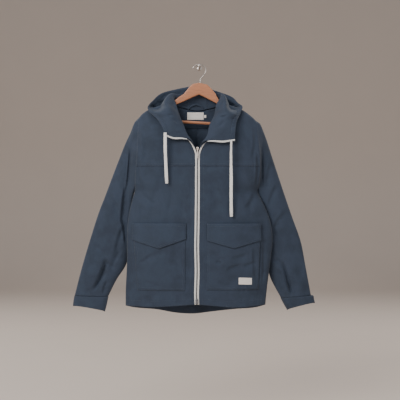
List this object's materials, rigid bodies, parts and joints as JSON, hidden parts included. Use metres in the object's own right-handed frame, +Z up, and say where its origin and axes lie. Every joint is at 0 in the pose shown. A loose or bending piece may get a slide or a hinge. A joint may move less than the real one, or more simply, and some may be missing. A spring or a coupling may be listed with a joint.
{
  "type": "hooded waterproof jacket on a wooden hanger",
  "caption": "Navy hooded waterproof jacket with a full-length cream zip, flat drawcords and two flapped patch pockets, hung empty on a wooden hanger from a round-headed wall peg.",
  "frame": {"origin": "on the wall, behind the middle of the peg", "axes": "+Z is up, +Y points into the wall and the jacket's front looks along -Y, +X is to the right seen from the front"},
  "size_m": [0.8772, 0.1534, 0.9076],
  "materials": {
    "shell_cloth": "matt tightly woven proofed cotton",
    "cream_tape": "woven zip tape",
    "cream_cord": "flat braided cord",
    "label_cloth": "woven label tape, bare",
    "wood": "satin varnish",
    "steel": "bright wire",
    "zip_metal": "dull zip metal"
  },
  "bodies": {
    "jacket": {"back_left": "shell_cloth", "back_right": "shell_cloth", "cord_left": "cream_cord", "cord_right": "cream_cord", "cuff_left": "shell_cloth", "cuff_right": "shell_cloth", "flap_left": "shell_cloth", "flap_right": "shell_cloth", "front_left": "shell_cloth", "front_right": "shell_cloth", "hang_loop": "shell_cloth", "hanger_bar": "wood", "hanger_hook": "steel", "hanger_wood": "wood", "hood_centre": "shell_cloth", "hood_left": "shell_cloth", "hood_right": "shell_cloth", "neck_facing": "shell_cloth", "neck_label": "label_cloth", "pocket_left": "shell_cloth", "pocket_patch": "label_cloth", "pocket_right": "shell_cloth", "size_tab": "label_cloth", "sleeve_left": "shell_cloth", "sleeve_right": "shell_cloth", "wall_peg": "steel", "yoke_left": "shell_cloth", "yoke_right": "shell_cloth", "zip_slider": "zip_metal", "zip_stop": "zip_metal", "zip_tape_left": "cream_tape", "zip_tape_right": "cream_tape", "zip_teeth": "zip_metal"},
    "zip_pull": {"zip_tab": "zip_metal"}
  },
  "joints": [
    {"name": "zip_tab_hinge", "type": "hinge", "parent": "jacket", "child": "zip_pull", "pos_m": [-0.0062, -0.1268, -0.3], "axis": [-1, 0, 0], "range_deg": [0, 150]}
  ]
}
